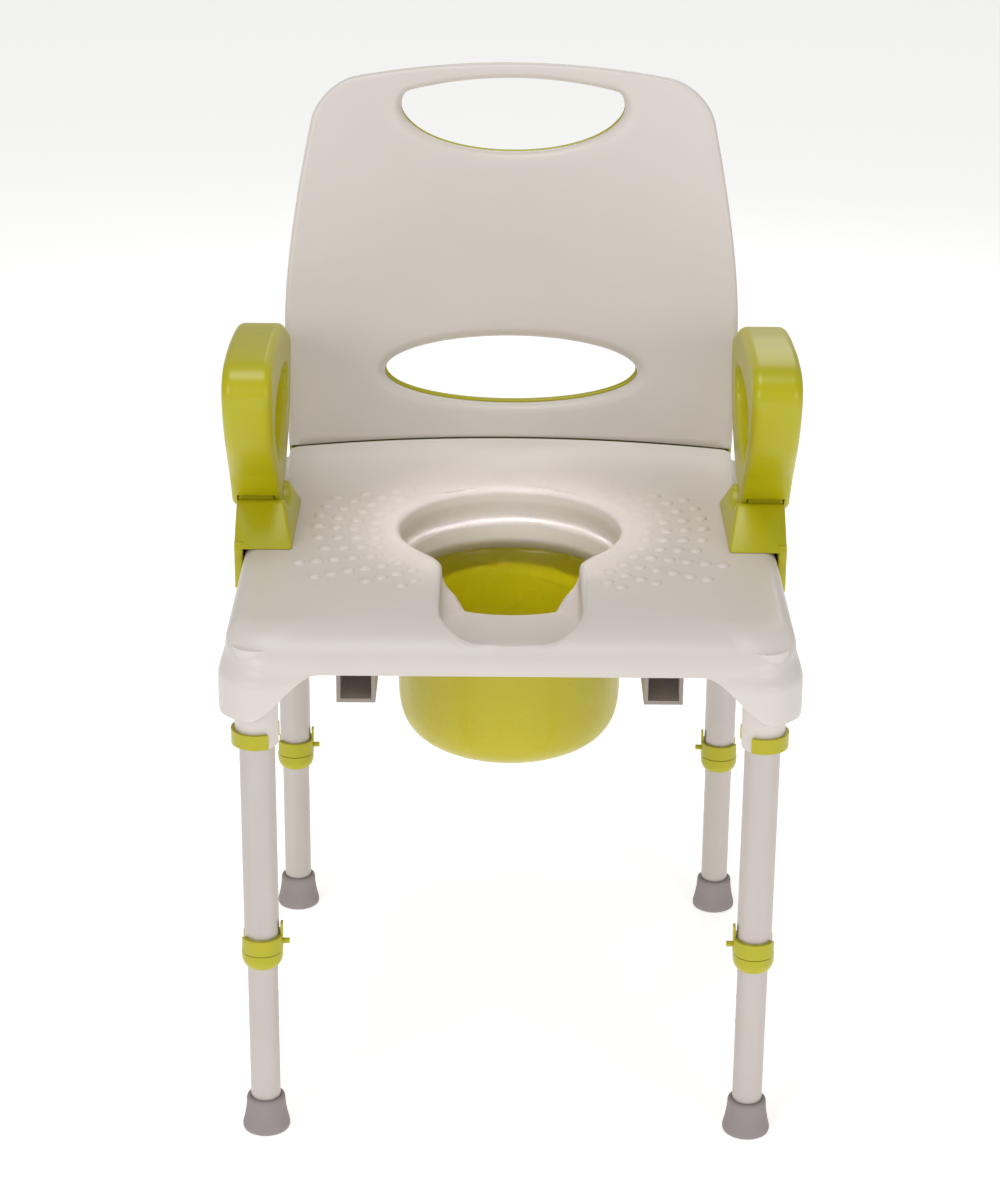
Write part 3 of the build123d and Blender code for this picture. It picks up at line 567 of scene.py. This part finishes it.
bumps = {
    "radius": 6.2,
    "height": 2.3,
    # rows that fan out from the opening: first and last bump's place, and how many
    "rows": ((86.9, 107.9, 86.9, 107.9, 1), (107.3, 96.9, 93.7, 86.8, 2), (134.6, 90.5, 104.3, 70.1, 3),
             (161.2, 80.8, 113.0, 52.5, 4), (169.3, 57.5, 119.1, 34.7, 4), (173.7, 31.0, 122.4, 14.0, 4),
             (174.2, 3.7, 123.3, -6.1, 4), (171.2, -25.3, 120.8, -26.1, 4), (164.2, -53.0, 116.2, -47.2, 4),
             (185.5, -89.4, 108.1, -67.6, 6), (169.4, -123.0, 98.1, -87.5, 6), (124.7, -132.8, 85.9, -105.0, 4),
             (94.3, -142.0, 83.1, -131.2, 2)),
    # a bump's side, as shares of its radius and height
    "section": ((0.86, 0.34), (0.55, 0.78), (0.25, 0.96), (0.0, 1.0)),
}
bm = bmesh.new()
dome = [(bumps["radius"], -0.5), (bumps["radius"], 0.0)]
dome += [(bumps["radius"] * wide, bumps["height"] * high) for wide, high in bumps["section"]]
for side in sides.values():
    for x0, y0, x1, y1, count in bumps["rows"]:
        for k in range(count):
            t = k / max(count - 1, 1)
            x, y = side * lerp(x0, x1, t), lerp(y0, y1, t)
            place = Matrix.Translation((x, y, chair["deckZ"] + dome[0][1]))
            made = bmesh.ops.create_circle(bm, cap_ends=True, segments=14, radius=dome[0][0], matrix=place)
            top = made["verts"][0].link_faces[0]
            for radius, height in dome[1:-1]:
                top = raisedFace(bm, top)
                for vert in top.verts:
                    out = Vector((vert.co.x - x, vert.co.y - y)).normalized() * radius
                    vert.co = (x + out.x, y + out.y, chair["deckZ"] + height)
            bmesh.ops.poke(bm, faces=[top], offset=dome[-1][1] - dome[-2][1])
piece("seatBumps", bm, "chair", finish["greyPolypropylene"], (), 60)

sockets = {"radius": 18.2, "bore": 15.1, "low": 372.0, "top": 462.0, "steps": 64}
bm = bmesh.new()
for sy in ends.values():
    for sx in sides.values():
        at = (sx * chair["legHalf"], chair["midY"] + sy * chair["legHalf"])
        spun(bm, [(sockets["bore"], sockets["low"] + 0.8), (sockets["bore"] + 0.8, sockets["low"]),
                  (sockets["radius"] - 1.2, sockets["low"]), (sockets["radius"] - 0.3, sockets["low"] + 0.4),
                  (sockets["radius"], sockets["low"] + 1.4), (sockets["radius"] + 0.6, sockets["top"]),
                  (sockets["bore"], sockets["top"]), (sockets["bore"], sockets["low"] + 0.8)],
             at, sockets["steps"])
piece("legSockets", bm, "chair", finish["greyPolypropylene"], (), 35)
print("seat made")

# ------- back
back = {
    "rise": 348.0,
    "tail": 40.0,
    "lowHalf": 209.0,
    "midHalf": 213.0,
    "topHalf": 181.0,
    "arch": 20.0,
    "corner": 30.0,
    "slotHalf": 105.0,
    "slotTop": 14.0,
    "slotHeight": 68.0,
    "ovalHalf": 120.0,
    "ovalHeight": 64.0,
    "ovalCentre": 65.0,
    "split": 12.0,                             # depth at which shell and cover meet
    "depth": 30.0,
    "shellRoll": 6.0,
    "openingRoll": 10.5,
    "coverRoll": 9.0,
    "grid": 8.0,
    "wall": 3.2,
    "seamGap": 1.2,
}
slope = back["rise"] / cos(chair["tilt"])
faceUp = Vector((0, sin(chair["tilt"]), cos(chair["tilt"])))
faceOut = Vector((0, -cos(chair["tilt"]), sin(chair["tilt"])))


def bezierLine(a, fromA, intoB, b, count=40):
    return [p.to_2d() for p in interpolate_bezier(a, fromA, intoB, b, count)]


def backOutline():
    # half of the outline from the foot up to the middle of the top, mirrored to the other half
    cornerV = slope - back["arch"]
    foot = Vector((back["lowHalf"], -back["tail"], 0))
    middle = Vector((back["midHalf"], slope * 0.31, 0))
    side = interpolate_bezier(foot, foot + Vector((1, 50, 0)), middle - Vector((0, 34, 0)), middle, 30)[:-1]
    corner = Vector((back["topHalf"], cornerV, 0))
    side += interpolate_bezier(middle, middle + Vector((0, 60, 0)), corner - Vector((-18, 82, 0)), corner, 60)
    radius = (back["topHalf"] ** 2 + back["arch"] ** 2) / (2 * back["arch"])
    top = [Vector((x, slope - radius + sqrt(radius ** 2 - x * x), 0))
           for x in [back["topHalf"] * (1 - k / 60) for k in range(1, 61)]]
    line = side + top
    # the top corner's round: both lines are cut short of the corner and joined by one curve
    before = [p for p in side if (p - corner).length > back["corner"] * 1.05]
    after = [p for p in top if (p - corner).length > back["corner"] * 1.05]
    a, b = before[-1], after[0]
    alongA, alongB = (before[-1] - before[-2]).normalized(), (after[0] - after[1]).normalized()
    handle = back["corner"] * 0.60
    turn = interpolate_bezier(a, a + alongA * handle, b + alongB * handle, b, 16)[1:-1]
    half = before + turn + after
    other = [Vector((-p.x, p.y, 0)) for p in reversed(half[:-1])]
    line = half + other
    line += [line[-1].lerp(line[0], k / 40) for k in range(1, 40)]
    return evenly(line, 5.0)


def ovalOutline():
    return [Vector((back["ovalHalf"] * cos(t), back["ovalCentre"] + back["ovalHeight"] / 2 * sin(t)))
            for t in [2 * pi * k / 120 for k in range(120)]]


def slotOutline():
    top = slope - back["slotTop"]
    shoulder = top - back["slotHeight"] * 0.2
    low = top - back["slotHeight"]
    half = back["slotHalf"]
    radius = (half ** 2 + (top - shoulder) ** 2) / (2 * (top - shoulder))
    roof = [Vector((x, top - radius + sqrt(radius ** 2 - x * x), 0))
            for x in [half - 2 * half * k / 60 for k in range(61)]]
    cut = [p for p in roof if abs(p.x) < half - 9]
    left, right = Vector((-half, shoulder - 12, 0)), Vector((half, shoulder - 12, 0))
    rise = Vector((0, 9, 0))
    rightTurn = interpolate_bezier(right, right + rise, cut[0] + Vector((7, -1.5, 0)), cut[0], 12)[:-1]
    leftTurn = interpolate_bezier(cut[-1], cut[-1] + Vector((-7, -1.5, 0)), left + rise, left, 12)[1:]
    middle, flat = Vector((0, low, 0)), Vector((62, 0, 0))
    leftLow = interpolate_bezier(left, left + Vector((2, -22, 0)), middle - flat, middle, 30)[1:]
    rightLow = interpolate_bezier(middle, middle + flat, right + Vector((-2, -22, 0)), right, 30)[1:-1]
    return evenly(rightTurn + cut + leftTurn + leftLow + rightLow, 4.0)


def onBack(u, v, depth):
    bow = chair["seamRadius"] - sqrt((chair["seamRadius"] + depth) ** 2 - u * u)
    return Vector((u, chair["seamY"], chair["seamZ"])) + faceUp * v + faceOut * bow


outlineOfBack, ovalOfBack, slotOfBack = backOutline(), ovalOutline(), slotOutline()


def backHalf(name, near, far, roll, openingRoll, inset, nodes, material, cutZ):
    # one skin of the back: a face at depth `near` whose edges roll over to depth `far`
    bm = bmesh.new()
    way = 1 if far > near else -1
    topV = slope - back["slotTop"]
    slotMid = topV - back["slotHeight"] / 2
    # seen from the front the rear skin's rim shows along the lower edges of the openings only
    ovalInset = [-inset * smooth(8, -8, p.y - back["ovalCentre"]) for p in ovalOfBack]
    slotInset = [-inset * 0.4 * smooth(8, -8, p.y - slotMid) for p in slotOfBack]
    loops = [outlineOfBack, grown(ovalOfBack, ovalInset), grown(slotOfBack, slotInset)]
    # the rim over the handle slot is narrow, so the openings' wide scoop tightens towards it
    tight, tightFrom = (5.5 if openingRoll > 5.5 else 3.5), topV - back["slotHeight"] * 0.55
    rolls = [[roll * smooth(-36, -18, p.y) for p in outlineOfBack], [openingRoll] * len(ovalOfBack),
             [lerp(openingRoll, tight, smooth(tightFrom, topV - 12, p.y)) for p in slotOfBack]]
    face = grown(outlineOfBack, [-r for r in rolls[0]])
    holes = [grown(loop, amounts) for loop, amounts in zip(loops[1:], rolls[1:])]
    rings = plate(bm, face, holes, back["grid"])
    flat = {v: (v.co.x, v.co.y, near) for v in bm.verts}
    for ring, loop, out, amounts in zip(rings, loops, (-1, 1, 1), rolls):
        normals = outward(loop)
        for k in range(1, 7):
            a = k / 6 * pi / 2
            places = [p + n * out * amount * (1 - sin(a)) for p, n, amount in zip(loop, normals, amounts)]
            ring = nextRing(bm, ring, [p.to_3d() for p in places])
            flat.update({v: (p.x, p.y, near + way * min(amount, abs(far - near) - 0.5) * (1 - cos(a)))
                         for v, p, amount in zip(ring, places, amounts)})
        ring = nextRing(bm, ring, [p.to_3d() for p in loop])
        flat.update({v: (p.x, p.y, far) for v, p in zip(ring, loop)})
    for vert, (u, v, depth) in flat.items():
        vert.co = onBack(u, v, depth)
    bmesh.ops.bisect_plane(bm, geom=bm.verts[:] + bm.edges[:] + bm.faces[:], dist=1e-4,
                           plane_co=(0, 0, cutZ), plane_no=(0, 0, 1), clear_inner=True)
    if way < 0:
        bmesh.ops.reverse_faces(bm, faces=bm.faces[:])
    made = piece(name, bm, "chair", finish[material], nodes, 45, outwardFaces=False)
    walled(made, back["wall"])
    return made


backHalf("backShell", 0.0, back["split"], back["shellRoll"], back["openingRoll"], 0.0, ["back_shell"],
         "greyPolypropylene", chair["seamZ"] + back["seamGap"])
backHalf("backCover", back["depth"], back["split"] + 0.2, back["coverRoll"], 5.0, 2.2, ["back_cover"],
         "limePolypropylene", chair["deckZ"] + 0.3)
print("back made")

# ------- armrests and brackets
armrest = {
    "inner": 206.0,
    "outer": 250.0,
    "eye": (8.0, 520.0),
    "eyeRadius": 25.0,
    "roll": 8.0,
    "lowRoll": 4.0,
    "windowRoll": 4.0,
    "cheek": 5.0,
    "earHalf": 19.6,
    "slotTop": 527.0,
    "cheekDrop": 508.0,
    # seen from the side, as places in Y and Z
    "outline": ((-20, 518), (-31, 534), (-48, 551), (-67, 572), (-80, 596), (-86, 615), (-86.5, 627),
                (-82, 637), (-73, 644.5), (-60, 649), (-30, 652), (-10, 652), (30, 650), (80, 643),
                (120, 627), (137, 620), (146, 614), (149, 606), (146, 596), (137, 570), (116, 545),
                (80, 523), (45, 507)),
    "window": ((-53, 588), (-29, 607), (36, 611), (88, 603), (97, 590), (88, 573), (36, 549), (-8, 542),
               (-24, 548), (-40, 566)),
}


def armOutline():
    centre = Vector(armrest["eye"] + (0,))
    arc = [centre + armrest["eyeRadius"] * Vector((cos(radians(a)), sin(radians(a)), 0))
           for a in range(-55, -146, -7)]
    rest = [Vector(p + (0,)) for p in armrest["outline"]]
    return throughPoints([p.to_2d() for p in arc + rest], 3.2)


def armPiece(name, sx, body, nodes):
    outer = armOutline()
    if not turnsLeft(outer):
        outer.reverse()
    window = throughPoints(armrest["window"], 3.2)
    if not turnsLeft(window):
        window.reverse()
    middle = (armrest["inner"] + armrest["outer"]) / 2
    halfThick = (armrest["outer"] - armrest["inner"]) / 2

    def rollAt(p):
        return lerp(armrest["lowRoll"], armrest["roll"], smooth(530, 565, p.y))

    bm = bmesh.new()
    for sideOf in (-1, 1):
        face = [p - n * rollAt(p) for p, n in zip(outer, outward(outer))]
        hole = grown(window, armrest["windowRoll"])
        rings = plate(bm, face, [hole], 6.0)
        fresh = [v for v in bm.verts if v.tag is False]
        flat = {v: (v.co.x, v.co.y, sideOf * halfThick) for v in fresh}
        normals, rolls = outward(outer), [rollAt(p) for p in outer]
        ring = rings[0]
        for k in range(1, 7):
            a = k / 6 * pi / 2
            spots = [(p - n * r * (1 - sin(a)), sideOf * (halfThick - r * (1 - cos(a))))
                     for p, n, r in zip(outer, normals, rolls)]
            ring = nextRing(bm, ring, [p.to_3d() for p, _ in spots])
            flat.update({v: (p.x, p.y, x) for v, (p, x) in zip(ring, spots)})
        cheekIn = halfThick - armrest["cheek"]
        spots = [(p, sideOf * min(halfThick - r, cheekIn)) for p, r in zip(outer, rolls)]
        ring = nextRing(bm, ring, [p.to_3d() for p, _ in spots])
        flat.update({v: (p.x, p.y, x) for v, (p, x) in zip(ring, spots)})
        # the fork's slot: the rim between the cheeks goes up over the bracket's ear
        forked = []
        for p, (_, x) in zip(outer, spots):
            dy = p.x - armrest["eye"][0]
            if p.y < armrest["cheekDrop"] and abs(dy) < armrest["eyeRadius"]:
                reachY = max(min(dy * 1.25, armrest["earHalf"]), -armrest["earHalf"])
                p = Vector((armrest["eye"][0] + reachY, armrest["slotTop"]))
            forked.append((p, x - sideOf * 0.2))
        ring = nextRing(bm, ring, [p.to_3d() for p, _ in forked])
        flat.update({v: (p.x, p.y, x) for v, (p, x) in zip(ring, forked)})
        outerEnd = ring
        ring = rings[1]
        windowNormals = outward(window)
        for k in range(1, 6):
            a = k / 5 * pi / 2
            r = armrest["windowRoll"]
            spots = [(p + n * r * (1 - sin(a)), sideOf * (halfThick - r * (1 - cos(a))))
                     for p, n in zip(window, windowNormals)]
            ring = nextRing(bm, ring, [p.to_3d() for p, _ in spots])
            flat.update({v: (p.x, p.y, x) for v, (p, x) in zip(ring, spots)})
        windowEnd = ring
        for vert, (y, z, x) in flat.items():
            vert.co = (sx * middle + x, y, z)
            vert.tag = True
        if sideOf < 0:
            firstOuter, firstWindow = outerEnd, windowEnd
    for a, b in ((firstOuter, outerEnd), (firstWindow, windowEnd)):
        pairs = []
        for ringVerts in (a, b):
            pairs += [bm.edges.get(pair) for pair in zip(ringVerts, ringVerts[1:] + ringVerts[:1])]
        bmesh.ops.bridge_loops(bm, edges=pairs)
    piece(name, bm, body, finish["limePolypropylene"], nodes, 40)


bracket = {
    "inner": 193.0,
    "outer": 245.0,
    "lean": 9.0,                               # the inner face leans out by this towards the top
    "front": -60.0,
    "rear": 74.0,
    "crestFront": (-21.0, 507.0),              # top of the wall before the armrest's round end
    "crestRear": (38.0, 507.0),
    "cup": 25.6,
    "skirtZ": 437.0,
    "skirtIn": 237.5,
    "skirtSlope": 12.0,
    "earTop": 526.0,
    "earHalf": 19.0,
    "earIn": 211.4,
    "earOut": 244.6,
    "soft": 2.6,
}


def bracketPiece(name, sx, nodes):
    bm = bmesh.new()
    eyeY, eyeZ = armrest["eye"]
    crest = bracket["crestFront"][1]
    halfCup = sqrt(bracket["cup"] ** 2 - (eyeZ - crest) ** 2)
    start = atan2(crest - eyeZ, -halfCup)
    end = atan2(crest - eyeZ, halfCup)
    arc = [start + (end - (start if start < end else start - 2 * pi)) * k / 14 for k in range(15)]
    profile = [(bracket["front"], chair["deckZ"] + 0.1), bracket["crestFront"]]
    profile += [(eyeY + bracket["cup"] * cos(a), eyeZ + bracket["cup"] * sin(a)) for a in arc]
    profile += [bracket["crestRear"], (bracket["rear"], chair["deckZ"] + 0.1)]
    # the outer face first, then pulled across to the leaning inner face
    face = bm.faces.new([bm.verts.new((sx * bracket["outer"], y, z)) for y, z in profile])
    made = bmesh.ops.extrude_face_region(bm, geom=[face])["geom"]
    for vert in [item for item in made if isinstance(item, bmesh.types.BMVert)]:
        rise = (vert.co.z - chair["deckZ"]) / (crest - chair["deckZ"])
        vert.co.x = sx * (bracket["inner"] + bracket["lean"] * rise)
    bmesh.ops.recalc_face_normals(bm, faces=bm.faces[:])
    edges = [e for e in bm.edges if degrees(e.calc_face_angle(0)) > 30]
    bmesh.ops.bevel(bm, geom=edges, offset=bracket["soft"], segments=3, profile=0.5, affect="EDGES",
                    material=-1, clamp_overlap=True)

    def span(a, b):
        return min(sx * a, sx * b), max(sx * a, sx * b)

    xLow, xHigh = span(bracket["skirtIn"], bracket["outer"])
    skirt = block(bm, (xLow, bracket["front"], bracket["skirtZ"]),
                  (xHigh, bracket["rear"], chair["deckZ"] + 6))
    for vert in skirt:
        low = vert.co.z < chair["deckZ"] - 5
        shift = bracket["skirtSlope"] if low and vert.co.y > 0 else bracket["skirtSlope"] / 3
        vert.co.y += shift if vert.co.y < 0 else -shift
    softened(bm, skirt, 1.4)
    xLow, xHigh = span(bracket["earIn"], bracket["earOut"])
    ear = block(bm, (xLow, eyeY - bracket["earHalf"], eyeZ - bracket["cup"] - 3),
                (xHigh, eyeY + bracket["earHalf"], bracket["earTop"]))
    softened(bm, ear, 2.0)
    piece(name, bm, "chair", finish["limePolypropylene"], nodes, 40)


for side, sx in sides.items():
    armPiece(f"armrest_{side}_moulding", sx, f"arm_{side}", [f"armrest_{side}"])
    bracketPiece(f"arm_bracket_{side}_moulding", sx, [f"arm_bracket_{side}"])
print("armrests and brackets made")

# ------- bucket
bucket = {"radius": 104.0, "floorZ": 262.0, "turn": 50.0, "wall": 2.6, "wallZ": 350.0, "flangeRadius": 128.0,
          "flangeZ": 411.3, "flangeThick": 3.0, "steps": 128}


def bucketTurn(inset, low, high):
    # the round turn from floor to wall; low and high are its handles, as (radius, height)
    start = Vector((45, 2.2 + inset, 0))
    end = Vector((bucket["radius"] - 2 - inset, bucket["turn"] + 6, 0))
    curve = interpolate_bezier(start, Vector(low + (0,)), Vector(high + (0,)), end, 22)
    return [(p.x, bucket["floorZ"] + p.y) for p in curve]


radius, wall, floorZ = bucket["radius"], bucket["wall"], bucket["floorZ"]
flangeLow, flangeTop = bucket["flangeZ"], bucket["flangeZ"] + bucket["flangeThick"]
outerLine = [(0.0, floorZ), (30.0, floorZ + 0.8)]
outerLine += bucketTurn(0.0, (88, 9), (radius - 3, 22))
outerLine += [(radius - 1.2, bucket["wallZ"]), (radius - 0.2, flangeLow - 3), (radius + 2.0, flangeLow),
              (bucket["flangeRadius"] - 1, flangeLow), (bucket["flangeRadius"], flangeLow + 1),
              (bucket["flangeRadius"] - 0.8, flangeTop), (radius + 1.0, flangeTop),
              (radius - 1.6, flangeTop - 0.8), (radius - wall - 0.4, flangeLow)]
innerLine = [(radius - wall - 1.2, bucket["wallZ"])]
innerLine += reversed(bucketTurn(wall, (86, 9 + wall), (radius - 3 - wall, 24)))
innerLine += [(30.0, floorZ + 0.8 + wall), (0.0, floorZ + wall)]
bm = bmesh.new()
spun(bm, outerLine + innerLine, (0, chair["holeY"]), bucket["steps"])
piece("bucket_moulding", bm, "bucket", finish["limeBucketPolypropylene"], ["bucket"], 40)
print("bucket made")

# ------- feet
foot = {"height": 32.0, "neck": 17.0, "flare": 20.8, "bore": 13.05, "seatZ": 6.0, "groove": 0.9, "steps": 72}
height, neck, flare, bore = foot["height"], foot["neck"], foot["flare"], foot["bore"]
footSkirt = [(p.x, p.y) for p in interpolate_bezier(Vector((flare - 0.5, 6.5, 0)), Vector((flare - 2.2, 13, 0)),
                                                    Vector((neck, 21, 0)), Vector((neck, 29.0, 0)), 9)]
# from the middle of the sole out, over its grip groove, up the skirt and down the bore
footLine = [(0, 0), (flare - 6, 0), (flare - 5.4, foot["groove"]), (flare - 3.6, foot["groove"]),
            (flare - 3.0, 0), (flare - 1.8, 0), (flare - 0.5, 0.9), (flare, 2.6), (flare - 0.1, 5.0)]
footLine += footSkirt
footLine += [(neck - 0.4, 30.8), (neck - 1.4, height - 0.2), (neck - 2.2, height), (bore + 0.5, height),
             (bore, height - 0.8), (bore, foot["seatZ"]), (0, foot["seatZ"])]
for end, sy in ends.items():
    for side, sx in sides.items():
        bm = bmesh.new()
        middle = (sx * chair["legHalf"], chair["midY"] + sy * chair["legHalf"])
        spun(bm, footLine, middle, foot["steps"])
        piece(f"foot_{end}_{side}_rubber", bm, f"leg_{end}_{side}", finish["greyRubber"],
              [f"foot_{end}_{side}"], 40)
print("feet made")

# ------- finishes of the pieces carried over from the frame
carried = {
    "leg_tube": "anodisedAluminium",
    "leg_extension": "anodisedAluminium",
    "leg_collar": "limePolypropylene",
    "height_clip": "limePolypropylene",
    "socket_clip": "limePolypropylene",
    # the rails take the grey plastic with painted shade from the seat above
    "rail": "shadedGreyRailPolypropylene",
    "shell_screws": "zincSteel",
    "back_screws": "zincSteel",
    "bracket_screws": "zincSteel",
    "rail_screws": "zincSteel",
}
for name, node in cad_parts.items():
    for start, finishName in carried.items():
        if name.startswith(start):
            node.data.materials.clear()
            node.data.materials.append(finish[finishName])

print("scene made")
